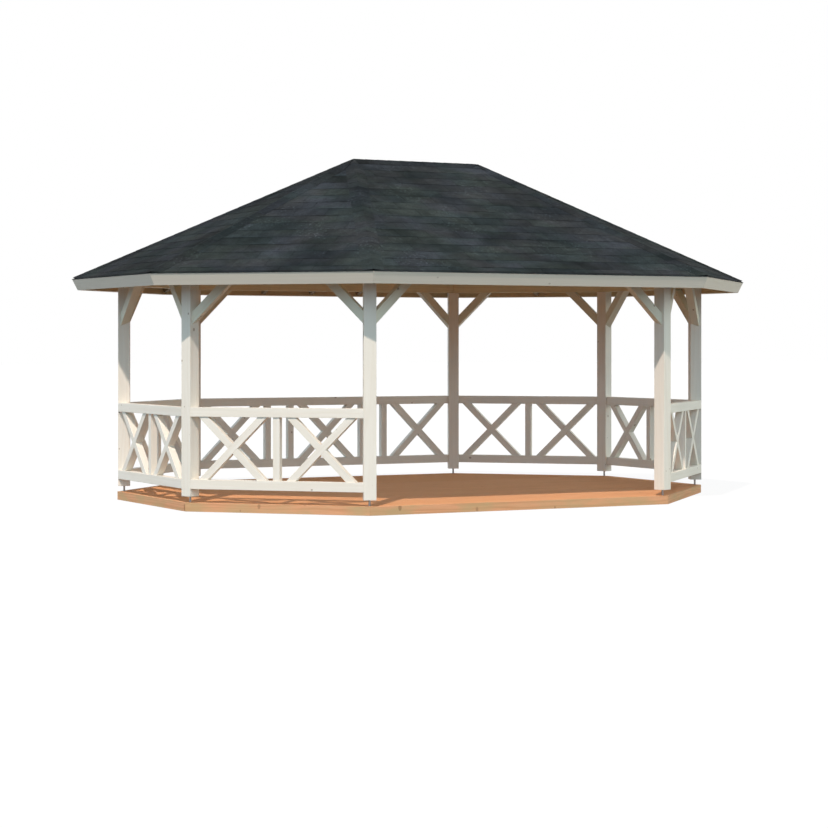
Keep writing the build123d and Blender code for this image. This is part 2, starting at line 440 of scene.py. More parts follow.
# painted light: parts in shade take a paler, cooler copy of the glaze; the braces a darker, greener one for
# painted shade
shadedLook = dict(glazedLook, name="shadedGlaze", light=(0.91, 0.87, 0.805), dark=(0.805, 0.735, 0.63),
                  patch=(0.85, 0.80, 0.715))
braceShadeLook = dict(glazedLook, name="braceGlaze", light=(0.83, 0.805, 0.67), dark=(0.735, 0.68, 0.52),
                 patch=(0.775, 0.735, 0.595))
# painted light and shade: tones makes each side's fascia lighter or darker by how the light falls there
fasciaLook = dict(glazedLook, name="fasciaGlaze", light=(0.86, 0.775, 0.66), dark=(0.78, 0.675, 0.545),
                  patch=(0.815, 0.73, 0.605), knotStrength=0.35, inside=(0.76, 0.59, 0.38),
                  tones=dict(dict.fromkeys(sideNames, 1.0), front=1.05, front_left=0.97, left=0.85,
                             front_right=0.92))
roofTimberLook = dict(glazedLook, name="ceilingTimber", light=(0.88, 0.705, 0.48), dark=(0.745, 0.572, 0.368),
                      patch=(0.815, 0.637, 0.423), knot=(0.30, 0.16, 0.07), knotRim=(0.24, 0.12, 0.06),
                      ringStrength=0.5, fibreStrength=0.4, knotStrength=0.4, gloss=0.2)
roofTimberLook["Knot Spacing"] = 0.8
beamLook = dict(roofTimberLook, name="beamTimber", light=(0.85, 0.76, 0.53), dark=(0.725, 0.615, 0.405),
                patch=(0.785, 0.685, 0.465), knotStrength=0.25)
# painted shade: the rafters, ridge beam and hubs take a much darker copy of the ceiling timber
rafterShadeLook = dict(roofTimberLook, name="rafterTimber", light=(0.34, 0.26, 0.165), dark=(0.275, 0.205, 0.13),
                  patch=(0.305, 0.23, 0.15))
deckLook = dict(glazedLook, name="deckOil", light=(0.845, 0.418, 0.203), dark=(0.590, 0.260, 0.112),
                patch=(0.730, 0.364, 0.171), knot=(0.30, 0.13, 0.05), knotRim=(0.20, 0.08, 0.03),
                ringStrength=0.6, fibreStrength=0.5, roughness=0.75, gloss=0.15)
deckEdgeLook = dict(glazedLook, name="deckEdgeOil", light=(0.805, 0.412, 0.225), dark=(0.575, 0.275, 0.130),
                    patch=(0.555, 0.385, 0.198), knot=(0.30, 0.14, 0.06), knotRim=(0.20, 0.095, 0.045),
                    ringStrength=0.6, fibreStrength=0.5, patchStrength=0.85, knotStrength=0.6, roughness=0.7,
                    gloss=0.2)
deckEdgeLook.update({"Knot Size": 0.012, "Knot Spacing": 0.50, "Knot Stretch": 2.3, "Patch Pace": 3.2})
joistLook = dict(deckEdgeLook, name="joistTimber", light=(0.40, 0.30, 0.19), dark=(0.28, 0.20, 0.12),
                 patch=(0.34, 0.25, 0.15))

creamGlaze = timberMaterial(glazedLook)
shadedGlaze = timberMaterial(shadedLook)
braceGlaze = timberMaterial(braceShadeLook)
fasciaGlaze = timberMaterial(fasciaLook)
ceilingTimber = timberMaterial(roofTimberLook)
beamTimber = timberMaterial(beamLook)
rafterTimber = timberMaterial(rafterShadeLook)
deckOil = timberMaterial(deckLook)
deckEdgeOil = timberMaterial(deckEdgeLook)
joistTimber = timberMaterial(joistLook)


steelLook = {
    "spangle": 160.0,
    "tone": (0.26, 0.40),
    "roughness": (0.40, 0.58),
    "metallic": 0.70,
}


def steelMaterial():
    material, tree, shader = startMaterial("galvanisedSteel")
    spangle = voronoi(tree, objectPlace(tree), steelLook["spangle"])["Color"]
    tone = ranged(tree, spangle, 0.0, 1.0, *steelLook["tone"])
    tree.links.new(grey(tree, tone), shader.inputs["Base Color"])
    shader.inputs["Metallic"].default_value = steelLook["metallic"]
    tree.links.new(ranged(tree, spangle, 0.0, 1.0, *steelLook["roughness"]), shader.inputs["Roughness"])
    return material


shingleValues = {
    "Exposure": 0.181,
    "Starter Cut": 0.050,
    "Tab Width": 0.333,
    "Tab Gap": 0.003,
    "Thickness": 0.0022,
    "Base Lift": 0.0015,
    "Lap": 0.03,
    "Overhang": 0.004,
    "Hip Cut": 0.006,
    "rowWander": 0.04,
    "tiltWander": 0.0012,
}
# painted light and shade: how light or dark each side of the roof and each hip is made, by how the light
# falls on it
roofFacetShades = {"front": 1.0, "front_right": 0.70, "right": 0.76, "rear_right": 0.9,
             "rear": 1.0, "rear_left": 0.76, "left": 0.72, "front_left": 1.0}
hipShades = {"front_left": 0.98, "front_right": 0.85, "right_front": 0.60, "right_rear": 0.80,
            "rear_right": 0.90, "rear_left": 0.85, "left_rear": 0.62, "left_front": 0.84}
shingleLook = {
    "light": (0.0395, 0.0474, 0.0509),
    "dark": (0.0087, 0.0124, 0.0136),
    "green": (0.950, 1.030, 0.978),
    "violet": (1.035, 0.975, 1.040),
    "cool": (0.965, 1.000, 1.060),
    "warm": (1.035, 1.000, 0.942),
    # how much broad fields, stretches of one course and single tabs count in how light a tab is
    "fieldShare": 0.45,
    "stretchShare": 0.36,
    "tabShare": 0.19,
    "fieldShift": (-29.5, -27.2, -19.1),
    "courseShift": (4.4, -29.2, -17.0),
    "fieldPace": 1.1,
    "stretchPace": 2.1,
    "driftPace": 1.7,
    "cloudPace": 8.0,
    "cloudTone": (0.71, 1.29),
    "granule": 0.0022,
    "granuleTone": (0.6, 1.4),
    "paleGrains": 0.07,
    "paleGrainPace": 70.0,
    "paleGrainTone": 0.8,
    "courseShade": 0.62,
    "footGlint": 0.22,
    "eaveLine": 0.60,
    "roughness": 0.95,
    "gloss": 0.05,
}


def noiseAt(tree, start, shift, scale, detail, roughness=0.5):
    return noise(tree, addVectors(tree, start, shift), scale, detail, roughness)


def shingleMaterial():
    look = shingleLook
    material, tree, shader = startMaterial("mineralShingle")
    coordinates = objectPlace(tree)
    lengthwise = splitXyz(tree, attribute(tree, "grain", "Vector"))[1]
    course = attribute(tree, "course")
    x, y, z = splitXyz(tree, coordinates)
    level = addVectors(tree, joinXyz(tree, x, y, times(tree, z, 3.0)), look["fieldShift"])
    pace = look["stretchPace"]
    courseLine = joinXyz(tree, add(tree, times(tree, x, pace), times(tree, course, 13.7)),
                         times(tree, y, pace), times(tree, course, 3.1))
    courseLine = addVectors(tree, courseLine, look["courseShift"])
    # weathered fields, and within them stretches of one course that end softly
    field = ranged(tree, noise(tree, level, look["fieldPace"], 3.0), 0.34, 0.66)
    stretchTone = ranged(tree, noise(tree, courseLine, 1.0, 3.0), 0.38, 0.62)
    lightness = add(tree, times(tree, field, look["fieldShare"]),
                    times(tree, stretchTone, look["stretchShare"]),
                    times(tree, attribute(tree, "tone"), look["tabShare"]))
    colour = mixColour(tree, lightness, look["dark"], look["light"])
    drift = noiseAt(tree, level, (7.0, 3.0, 5.0), look["driftPace"], 2.0)
    leaning = add(tree, times(tree, attribute(tree, "hue"), 0.12), times(tree, drift, 0.88))
    lean = ranged(tree, leaning, 0.42, 0.58)
    colour = tinted(tree, colour, mixColour(tree, lean, look["violet"], look["green"]))
    chill = ranged(tree, noiseAt(tree, courseLine, (31.0, 5.0, 2.0), 0.8, 2.0), 0.40, 0.60)
    colour = tinted(tree, colour, mixColour(tree, chill, look["warm"], look["cool"]))
    shade = ranged(tree, noise(tree, coordinates, look["cloudPace"], 5.0, 0.78), 0.3, 0.7, *look["cloudTone"])
    grit = voronoi(tree, coordinates, 1 / look["granule"])
    speck = ranged(tree, splitXyz(tree, grit["Color"])[0], 0.0, 1.0, *look["granuleTone"])
    # small groups of pale grains, here and there
    group = splitXyz(tree, voronoi(tree, coordinates, look["paleGrainPace"])["Color"])[1]
    chosen = calc(tree, "LESS_THAN", group, look["paleGrains"])
    cluster = ranged(tree, noise(tree, coordinates, 2.3, 1.0), 0.54, 0.62, 0.0, look["paleGrainTone"])
    # painted shadow just below where the course above runs over, deeper in some places than in others
    broken = noiseAt(tree, courseLine, (2.0, 9.0, 1.0), 2.0, 3.0, 0.6)
    deepest = ranged(tree, broken, 0.36, 0.54, look["courseShade"], 1.0)
    headLine = shingleValues["Exposure"]
    shadow = ranged(tree, lengthwise, headLine - 0.030, headLine - 0.006, 1.0, deepest)
    # painted highlights in stretches along the lower edges, and a darker band along the lowest edge at the
    # eave
    glintPatches = ranged(tree, noiseAt(tree, courseLine, (17.0, 4.0, 6.0), 2.6, 3.0, 0.6), 0.50, 0.66)
    foot = times(tree, ranged(tree, lengthwise, 0.004, 0.024, look["footGlint"], 0.0), glintPatches)
    bright = add(tree, times(tree, chosen, cluster), 1.0, foot)
    cut = shingleValues["Starter Cut"]
    eave = ranged(tree, add(tree, course, lengthwise), cut + 0.006, cut + 0.012, look["eaveLine"], 1.0)
    # facetTone holds the painted shade of each roof side and hip
    factor = times(tree, times(tree, shade, speck),
                   times(tree, shadow, eave, attribute(tree, "facetTone"), bright))
    tree.links.new(tinted(tree, colour, grey(tree, factor)), shader.inputs["Base Color"])
    mattFinish(shader, look["roughness"], look["gloss"])
    bumped(tree, shader, grit["Distance"], 0.5, 0.001)
    return material


underlayLook = {
    "dark": (0.006, 0.006, 0.007),
    "light": (0.016, 0.017, 0.018),
    "cloudPace": 30.0,
    "roughness": 0.95,
    "gloss": 0.05,
}


def underlayMaterial():
    look = underlayLook
    material, tree, shader = startMaterial("bitumenUnderlay")
    cloud = noise(tree, objectPlace(tree), look["cloudPace"], 3.0)
    colour = mixColour(tree, cloud, look["dark"], look["light"])
    tree.links.new(colour, shader.inputs["Base Color"])
    mattFinish(shader, look["roughness"], look["gloss"])
    bumped(tree, shader, cloud, 0.3, 0.001)
    return material


galvanisedSteel = steelMaterial()
mineralShingle = shingleMaterial()
bitumenUnderlay = underlayMaterial()
print("materials made")


def geometryTree(name, inputs):
    return newTree(name, "GeometryNodeTree", {**inputs, "Seed": 1, "Material": "Material"},
                   {"Geometry": "Geometry"})


def here(tree):
    return get(tree, "GeometryNodeInputPosition")


def moved(tree, geometry, x, y, z):
    place = joinXyz(tree, x, y, z)
    return get(tree, "GeometryNodeSetPosition", {"Geometry": geometry, "Position": place})


def stored(tree, geometry, label, value, kind="FLOAT"):
    return get(tree, "GeometryNodeStoreNamedAttribute", {"Geometry": geometry, "Name": label, "Value": value},
               data_type=kind, domain="POINT")


def drawn(tree, low, high, seed, **more):
    # a random number for each point
    return put(tree, "FunctionNodeRandomValue", {2: low, 3: high, "Seed": seed, **more}).outputs[1]


def coursesMarked(tree, given, points, course):
    points = stored(tree, points, "course", course)
    # the painted shade of each roof side and hip, and the darker ridge caps, stored as facetTone
    return stored(tree, points, "facetTone", given["Facet Tone"])


def tonesDrawn(tree, given, points):
    for offset, label in enumerate(("tone", "hue")):
        points = stored(tree, points, label, drawn(tree, 0.0, 1.0, add(tree, given["Seed"], 7.0 + offset)))
    return points


def laidOn(tree, points, piece, **more):
    laid = get(tree, "GeometryNodeInstanceOnPoints", {"Points": points, "Instance": piece, **more})
    return get(tree, "GeometryNodeRealizeInstances", {"Geometry": laid})


def finishTree(tree, given, result, geometry):
    finish = get(tree, "GeometryNodeSetMaterial", {"Geometry": geometry, "Material": given["Material"]})
    tree.links.new(finish, result["Geometry"])
    return tree


def applyNodes(tree, values, matrix=None):
    # runs a tree with these named inputs and returns its result as a plain mesh
    carrier = newObject("carrier", bpy.data.meshes.new("seedMesh"))
    modifier = carrier.modifiers.new("nodes", "NODES")
    modifier.node_group = tree
    for item in tree.interface.items_tree:
        if item.item_type == "SOCKET" and item.in_out == "INPUT" and item.name in values:
            modifier[item.identifier] = values[item.name]
    depsgraph = bpy.context.evaluated_depsgraph_get()
    result = bpy.data.meshes.new_from_object(carrier.evaluated_get(depsgraph), depsgraph=depsgraph)
    bpy.data.objects.remove(carrier)
    if matrix is not None:
        result.transform(matrix)
    return result


def joinMeshes(name, meshes):
    parts = [newObject("part", mesh) for mesh in meshes]
    with bpy.context.temp_override(active_object=parts[0], object=parts[0], selected_objects=parts,
                                   selected_editable_objects=parts):
        bpy.ops.object.join()
    joined = parts[0].data
    joined.name = name
    bpy.data.objects.remove(parts[0])
    return joined


def boardRowsTree(name, limit):
    # rows of boards side by side along Y, their ends cut at limit()
    tree, given, result = geometryTree(name, {
        "Rows": 10, "Row Pitch": 0.1, "Board Width": 0.1, "Thickness": 0.02, "Easing": 0.003,
        "First Row": 0.0, "Middle Height": 0.0, "Reach": 2.0, "Half Stretch": 0.0})
    line = get(tree, "GeometryNodeCurvePrimitiveLine", {"Start": (-1, 0, 0), "End": (1, 0, 0)})
    section = get(tree, "GeometryNodeCurvePrimitiveQuadrilateral", {
        0: given["Board Width"], 1: given["Thickness"]})
    rounded = get(tree, "GeometryNodeFilletCurve", {"Curve": section, "Radius": given["Easing"]})
    board = get(tree, "GeometryNodeCurveToMesh", {
        "Curve": line, "Profile Curve": rounded, "Fill Caps": True})
    points = get(tree, "GeometryNodeMeshLine", {
        "Count": given["Rows"],
        "Start Location": joinXyz(tree, 0.0, given["First Row"], given["Middle Height"]),
        "Offset": joinXyz(tree, 0.0, given["Row Pitch"], 0.0)})
    shift = get(tree, "FunctionNodeRandomValue", {"Min": [-grainShift] * 3, "Max": [grainShift] * 3,
                                                  "Seed": given["Seed"]}, data_type="FLOAT_VECTOR")
    shifted = stored(tree, points, "shift", shift, "FLOAT_VECTOR")
    real = laidOn(tree, shifted, board)
    x, y, z = splitXyz(tree, here(tree))
    cut = moved(tree, real, times(tree, x, limit(tree, given, y, z)), y, z)
    shift = get(tree, "GeometryNodeInputNamedAttribute", {"Name": "shift"}, data_type="FLOAT_VECTOR")
    grain = stored(tree, cut, "grain", addVectors(tree, here(tree), shift), "FLOAT_VECTOR")
    return finishTree(tree, given, result, grain)


def facetLimit(tree, given, y, z):
    # half length of a roof facet at this place: it shrinks up the slope
    reach = minus(tree, given["Reach"], times(tree, y, cos(roofPitch)))
    reach = larger(tree, add(tree, reach, times(tree, z, sin(roofPitch))), 0.0)
    return add(tree, times(tree, reach, halfTurn), given["Half Stretch"])


def deckLimit(tree, given, y, z):
    corner = minus(tree, times(tree, given["Reach"], sqrt(2)), absolute(tree, y))
    return add(tree, smaller(tree, corner, given["Reach"]), given["Half Stretch"])


def shingleTree():
    # courses of tabs up one facet, lapped, cut at the hips
    tree, given, result = geometryTree("shingleCourses", {
        "Courses": 20, "Columns": 12, "Exposure": 0.145, "Lap": 0.03, "Tab Width": 0.333, "Tab Gap": 0.005,
        "Thickness": 0.0035, "Base Lift": 0.002, "Starter Cut": 0.05, "Overhang": 0.0, "Slope Length": 3.0,
        "Hip Cut": 0.0, "Facet Tone": 1.0, "Reach": 2.0, "Half Stretch": 0.0})
    columns, exposure, thickness = given["Columns"], given["Exposure"], given["Thickness"]
    count = times(tree, given["Courses"], columns)
    points = get(tree, "GeometryNodeMeshLine", {"Count": count, "Offset": (0, 0, 0)})
    index = get(tree, "GeometryNodeInputIndex")
    course = calc(tree, "FLOOR", over(tree, add(tree, index, 0.5), columns))
    column = minus(tree, index, times(tree, course, columns))
    middle = times(tree, minus(tree, columns, 1.0), 0.5)
    brick = times(tree, calc(tree, "MODULO", course, 2.0), 0.5)
    wander = shingleValues["rowWander"]
    jitter = drawn(tree, -wander, wander, given["Seed"], ID=course)
    x = times(tree, add(tree, minus(tree, column, middle), brick, jitter), given["Tab Width"])
    y = minus(tree, times(tree, course, exposure), given["Starter Cut"])
    placed = moved(tree, coursesMarked(tree, given, points, course), x, y, given["Base Lift"])
    px, py, pz = splitXyz(tree, here(tree))
    inner = minus(tree, absolute(tree, px), times(tree, given["Tab Width"], 0.48))
    outside = calc(tree, "GREATER_THAN", inner, facetLimit(tree, given, py, pz))
    kept = get(tree, "GeometryNodeDeleteGeometry", {"Geometry": placed, "Selection": outside}, domain="POINT")
    seeded = tonesDrawn(tree, given, kept)
    # one tab: its lower edge rides on the course below, its upper edge goes under the course above
    length = add(tree, exposure, given["Lap"])
    width = minus(tree, given["Tab Width"], given["Tab Gap"])
    tab = get(tree, "GeometryNodeMeshCube", {"Size": joinXyz(tree, width, length, thickness)})
    tx, ty, tz = splitXyz(tree, here(tree))
    up = add(tree, ty, times(tree, length, 0.5))
    fall = over(tree, times(tree, up, thickness), exposure)
    rise = add(tree, tz, times(tree, thickness, 1.5))
    tilted = moved(tree, tab, tx, up, minus(tree, rise, fall))
    marked = stored(tree, tilted, "grain", here(tree), "FLOAT_VECTOR")
    wander = shingleValues["tiltWander"]
    lift = drawn(tree, -wander, wander, add(tree, given["Seed"], 3.0))
    real = laidOn(tree, seeded, marked, Rotation=joinXyz(tree, times(tree, lift, 4.0), 0.0, 0.0))
    cx, cy, cz = splitXyz(tree, here(tree))
    lowest = larger(tree, cy, times(tree, given["Overhang"], -1.0))
    within = smaller(tree, lowest, given["Slope Length"])
    half = larger(tree, minus(tree, facetLimit(tree, given, within, cz), given["Hip Cut"]), 0.0)
    held = smaller(tree, larger(tree, cx, times(tree, half, -1.0)), half)
    return finishTree(tree, given, result, moved(tree, real, held, within, cz))


capValues = {
    "Exposure": 0.145,
    "Half Width": 0.100,
    "Thickness": 0.0018,
    "Base Lift": 0.0044,
    "Lap": 0.03,
    "footCut": 0.014,
    "hipCrown": 0.011,
    "ridgeCrown": 0.0094,
    "ridgeTone": 0.73,
}


def capTree():
    # bent caps lapped along a hip or the ridge: X up the line, Z away from the roof
    tree, given, result = geometryTree("capRun", {
        "Count": 10, "Exposure": 0.145, "Lap": 0.03, "Half Width": 0.1, "Thickness": 0.0025, "Fall": 0.16,
        "Crown": 0.0, "Base Lift": 0.01, "Foot Slant": 0.0, "Foot Cut": 0.0, "Run Length": 1.0,
        "Head Taper": 1.0, "First Course": 0.0, "Courses Each": 0.0, "Facet Tone": 1.0})
    exposure, thickness, fall = given["Exposure"], given["Thickness"], given["Fall"]
    length = add(tree, exposure, given["Lap"])
    cap = get(tree, "GeometryNodeMeshCube", {
        "Size": joinXyz(tree, length, times(tree, given["Half Width"], 2.0), thickness), "Vertices Y": 5})
    x, y, z = splitXyz(tree, here(tree))
    along = add(tree, x, times(tree, length, 0.5))
    off = absolute(tree, y)
    drop = times(tree, off, fall)
    slope = over(tree, times(tree, along, thickness), exposure)
    inward = minus(tree, 1.0, over(tree, off, given["Half Width"]))
    height = add(tree, z, times(tree, inward, given["Crown"]), times(tree, thickness, 1.5))
    bent = moved(tree, cap, along, y, minus(tree, height, add(tree, drop, slope)))
    marked = stored(tree, bent, "grain", joinXyz(tree, y, x, 0.0), "FLOAT_VECTOR")
    points = get(tree, "GeometryNodeMeshLine", {
        "Count": given["Count"], "Start Location": joinXyz(tree, 0.0, 0.0, given["Base Lift"]),
        "Offset": joinXyz(tree, exposure, 0.0, 0.0)})
    index = get(tree, "GeometryNodeInputIndex")
    course = add(tree, given["First Course"], calc(tree, "FLOOR", times(tree, index, given["Courses Each"])))
    seeded = tonesDrawn(tree, given, coursesMarked(tree, given, points, course))
    real = laidOn(tree, seeded, marked)
    cx, cy, cz = splitXyz(tree, here(tree))
    off = absolute(tree, cy)
    foot = add(tree, times(tree, off, given["Foot Slant"]), given["Foot Cut"])
    held = smaller(tree, larger(tree, cx, foot), given["Run Length"])
    # near the ridge end each wing stops halfway to the next hip
    room = larger(tree, times(tree, minus(tree, given["Run Length"], held), given["Head Taper"]), 0.0)
    width = smaller(tree, off, room)
    spare = minus(tree, off, width)
    wing = times(tree, width, calc(tree, "SIGN", cy))
    trimmed = moved(tree, real, held, wing, add(tree, cz, times(tree, spare, fall)))
    return finishTree(tree, given, result, trimmed)


deckValues = {
    "Rows": 34,
    "Gap": 0.008,
    "Easing": 0.004,
    "edgeEasing": 0.001,
    "joistEasing": 0.002,
}


def makeDeck():
    low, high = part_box("deck_floor")
    reach = high[1]
    pitch = 2 * reach / deckValues["Rows"]
    tree = boardRowsTree("deckBoards", deckLimit)
    mesh = applyNodes(tree, {
        **deckValues, "Row Pitch": pitch, "Board Width": pitch - deckValues["Gap"],
        "Thickness": high[2] - low[2], "Middle Height": (low[2] + high[2]) / 2,
        "First Row": -reach + pitch / 2, "Reach": reach, "Half Stretch": stretch, "Seed": 4,
        "Material": deckOil})
    makeObject("deck_boards", mesh, deckOil, "deck_boards", "deck_floor")
    dressNode("deck_edge_boards", deckEdgeOil, "deck_edge", deckValues["edgeEasing"], 11)
    dressNode("deck_joists", joistTimber, "rough_timber", deckValues["joistEasing"], 12)


def markInside(mesh):
    # 1 on the faces turned towards the middle of the gazebo
    values = [0.0] * len(mesh.vertices)
    for face in mesh.polygons:
        middle = Vector((max(-stretch, min(stretch, face.center.x)), 0, face.center.z))
        if face.normal.dot((middle - face.center).normalized()) > 0.5:
            for k in face.vertices:
                values[k] = 1.0
    mesh.attributes.new("inside", "FLOAT", "POINT").data.foreach_set("value", values)


frameValues = {
    "postEasing": 0.004,
    "braceEasing": 0.003,
    "beamEasing": 0.003,
    "fasciaEasing": 0.002,
    "rafterEasing": 0.002,
    "shadedPosts": ("right_rear", "rear_right", "rear_left"),
    "shadedSides": ("right", "rear_right", "rear", "rear_left"),
}


def makeFrame():
    values = frameValues
    for i, name in enumerate(postNames):
        # painted light: the posts in shade take the paler, cooler copy of the glaze
        glaze = shadedGlaze if name in values["shadedPosts"] else creamGlaze
        dressNode("post_" + name, glaze, "glazed_timber", values["postEasing"], 20 + i)
        # painted shade: every brace takes the darker, greener copy of the glaze
        dressNode("braces_" + name, braceGlaze, "glazed_timber", values["braceEasing"], 40 + i)
    dressNode("ring_beams", beamTimber, "roof_timber", values["beamEasing"], 60)
    # the fascia boards carry painted light and shade, one factor for each side
    fascia = dressNode("fascia_boards", fasciaGlaze, "fascia_timber", values["fasciaEasing"], 61,
                       fasciaLook["tones"])
    markInside(fascia.data)
    for k, node in enumerate(("hip_rafters", "long_rafters", "jack_rafters", "ridge_beam", "ridge_hubs")):
        dressNode(node, rafterTimber, "roof_timber", values["rafterEasing"], 70 + k)
    pins = cadNodes["post_pins"]
    pins.data.materials.clear()
    pins.data.materials.append(galvanisedSteel)


railValues = {
    "railSize": 0.09,
    "postHalf": 0.06,
    "infillWidth": 0.068,
    "infillThick": 0.068,
    "infillDepth": 0.011,
    "rearStuds": (-0.730, -0.450, 0.450, 0.730),
    "easing": 0.003,
}


def boxBoard(length, width, thick):
    bm = bmesh.new()
    bmesh.ops.create_cube(bm, size=1, matrix=Matrix.Diagonal((length, width, thick, 1)))
    return bm


def prism(outline, low, high):
    # a solid with this XY outline between two heights
    bm = bmesh.new()
    bottom = [bm.verts.new((x, y, low)) for x, y in outline]
    top = [bm.verts.new((x, y, high)) for x, y in outline]
    bm.faces.new(bottom)
    bm.faces.new(top)
    count = len(outline)
    for k in range(count):
        bm.faces.new((bottom[k], bottom[(k + 1) % count], top[(k + 1) % count], top[k]))
    return bm


def crossBar(height, lean, notchBehind):
    # a bar at 45 degrees, halved where it crosses the other; X runs along the bar and Y goes in
    width, thick = railValues["infillWidth"], railValues["infillThick"]
    half = height / sqrt(2)
    lap = width / 2
    if notchBehind:
        outline = [(-half, 0), (half, 0), (half, thick), (lap, thick), (lap, thick / 2), (-lap, thick / 2),
                   (-lap, thick), (-half, thick)]
    else:
        outline = [(-half, 0), (-lap, 0), (-lap, thick / 2), (lap, thick / 2), (lap, 0), (half, 0),
                   (half, thick), (-half, thick)]
    bm = prism(outline, -width / 2, width / 2)
    for vert in bm.verts:
        if abs(vert.co.x) > lap + 0.001:
            vert.co.x -= lean * vert.co.z  # level cuts at both rails
    return bm


def makeRailing(i):
    name = "railing_" + sideNames[i]
    rng = random.Random(100 + i)
    low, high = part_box(name)
    side = sideMatrix(i)
    postEdge = railValues["postHalf"] * (halfTurn * sin(cornerTurn) + cos(cornerTurn))
    railSize, thick = railValues["railSize"], railValues["infillThick"]
    piece = newPiece()

    def lay(bm, matrix):
        eased(bm, railValues["easing"])
        addBoard(piece, bm, side @ matrix, randomShift(rng))

    outer = halfStretch(i) + wallReach * halfTurn - postEdge
    inner = outer - railSize * halfTurn
    for z in (low[2], high[2] - railSize):
        outline = [(-outer, 0), (outer, 0), (inner, railSize), (-inner, railSize)]
        lay(prism(outline, 0, railSize), Matrix.Translation((0, 0, z)))
    bottom, top = low[2] + railSize, high[2] - railSize
    height = top - bottom
    middleZ = (top + bottom) / 2
    end = outer - railSize / 2 * halfTurn
    half = railValues["infillWidth"] / 2
    studs = railValues["rearStuds"] if sideNames[i] == "rear" else (0,)
    outerCross = (studs[-1] + half + end) / 2
    crosses = (-outerCross, outerCross) if len(studs) == 1 else (-outerCross, 0, outerCross)
    for x in studs:
        spot = Matrix.Translation((x, railValues["infillDepth"] + thick / 2, middleZ))
        lay(boxBoard(height, thick, railValues["infillWidth"]), spot @ Matrix.Rotation(-pi / 2, 4, "Y"))
    for x in crosses:
        for lean in (1, -1):
            turn = Matrix.Rotation(-lean * pi / 4, 4, "Y")
            spot = Matrix.Translation((x, railValues["infillDepth"], middleZ))
            lay(crossBar(height, lean, lean > 0), spot @ turn)
    # painted light: the railings in shade take the paler, cooler copy of the glaze
    glaze = shadedGlaze if sideNames[i] in frameValues["shadedSides"] else creamGlaze
    makeObject(name + "_bars", pieceMesh(name, piece), glaze, "glazed_timber", name)


ceilingValues = {
    "Rows": 28,
    "Gap": 0.001,
    "Easing": 0.003,
    "Thickness": 0.019,
}


def makeCeiling():
    thick = ceilingValues["Thickness"]
    tree = boardRowsTree("ceilingBoards", facetLimit)
    slope = fasciaReach / cos(roofPitch)
    start = (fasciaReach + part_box("roof_front")[0][1]) / cos(roofPitch)
    pitch = (slope - start) / ceilingValues["Rows"]
    for i, name in enumerate(sideNames):
        mesh = applyNodes(tree, {
            **ceilingValues, "Row Pitch": pitch, "Board Width": pitch - ceilingValues["Gap"],
            "Middle Height": -thick / 2, "First Row": start + pitch / 2, "Reach": fasciaReach,
            "Half Stretch": halfStretch(i), "Seed": 30 + i, "Material": ceilingTimber}, facetMatrix(i))
        makeObject("ceiling_boards_" + name, mesh, ceilingTimber, "roof_timber", "roof_" + name)


def makeShingles():
    slope = fasciaReach / cos(roofPitch)
    courses = ceil((slope + shingleValues["Starter Cut"]) / shingleValues["Exposure"])
    tree = shingleTree()
    meshes = []
    for i in range(8):
        widest = 2 * (halfStretch(i) + fasciaReach * halfTurn)
        values = dict(shingleValues, Courses=courses, Columns=ceil(widest / shingleValues["Tab Width"]) + 2,
                      Reach=fasciaReach, Seed=200 + i, Material=mineralShingle)
        values.update({"Half Stretch": halfStretch(i), "Slope Length": slope,
                       "Facet Tone": roofFacetShades[sideNames[i]]})
        meshes.append(applyNodes(tree, values, facetMatrix(i)))
    makeObject("shingle_courses", joinMeshes("shingleCourses", meshes), mineralShingle, "shingle",
               "roof_shingles")
    print("shingles laid")


underlayValues = {
    "heights": (0.0002, 0.0007),
    "setBack": 0.004,
}


def makeUnderlay():
    # the dark sheet under the shingles, seen in the slots
    setBack = underlayValues["setBack"]
    bm = bmesh.new()
    sheets = []
    for height in underlayValues["heights"]:
        vertical = height / cos(roofPitch)
        edgeZ = eaveHeight + setBack * tan(roofPitch) + vertical
        points = [cornerPoint(i, fasciaReach - setBack, edgeZ) for i in range(8)]
        points += [end + Vector((0, 0, vertical)) for end in ridgeEnds]
        sheets.append([bm.verts.new(point) for point in points])
    low, high = sheets
    for verts in sheets:
        for i in range(8):
            n = (i + 1) % 8
            firstEnd, nextEnd = [verts[9] if cornerPoint(k, 1).x > 0 else verts[8] for k in (i, n)]
            bm.faces.new([verts[i], verts[n], nextEnd] + ([firstEnd] if firstEnd != nextEnd else []))
    for i in range(8):
        n = (i + 1) % 8
        bm.faces.new((low[i], low[n], high[n], high[i]))
    bmesh.ops.recalc_face_normals(bm, faces=bm.faces)
    mesh = bpy.data.meshes.new("underlay")
    bm.to_mesh(mesh)
    bm.free()
    makeObject("roof_underlay", mesh, bitumenUnderlay, "shingle")


def capRun(tree, start, end, up, coursesUp, values):
    # one line of caps, their exposure eased so that a whole number fits
    along = (end - start).normalized()
    side = up.cross(along).normalized()
    matrix = Matrix.Translation(start) @ Matrix((along, side, along.cross(side))).transposed().to_4x4()
    length = (end - start).length
    count = ceil(length / capValues["Exposure"])
    values = dict(capValues, Count=count, Exposure=length / count, Material=mineralShingle, **values)
    values.update({"Run Length": length, "Courses Each": coursesUp / count})
    return applyNodes(tree, values, matrix)


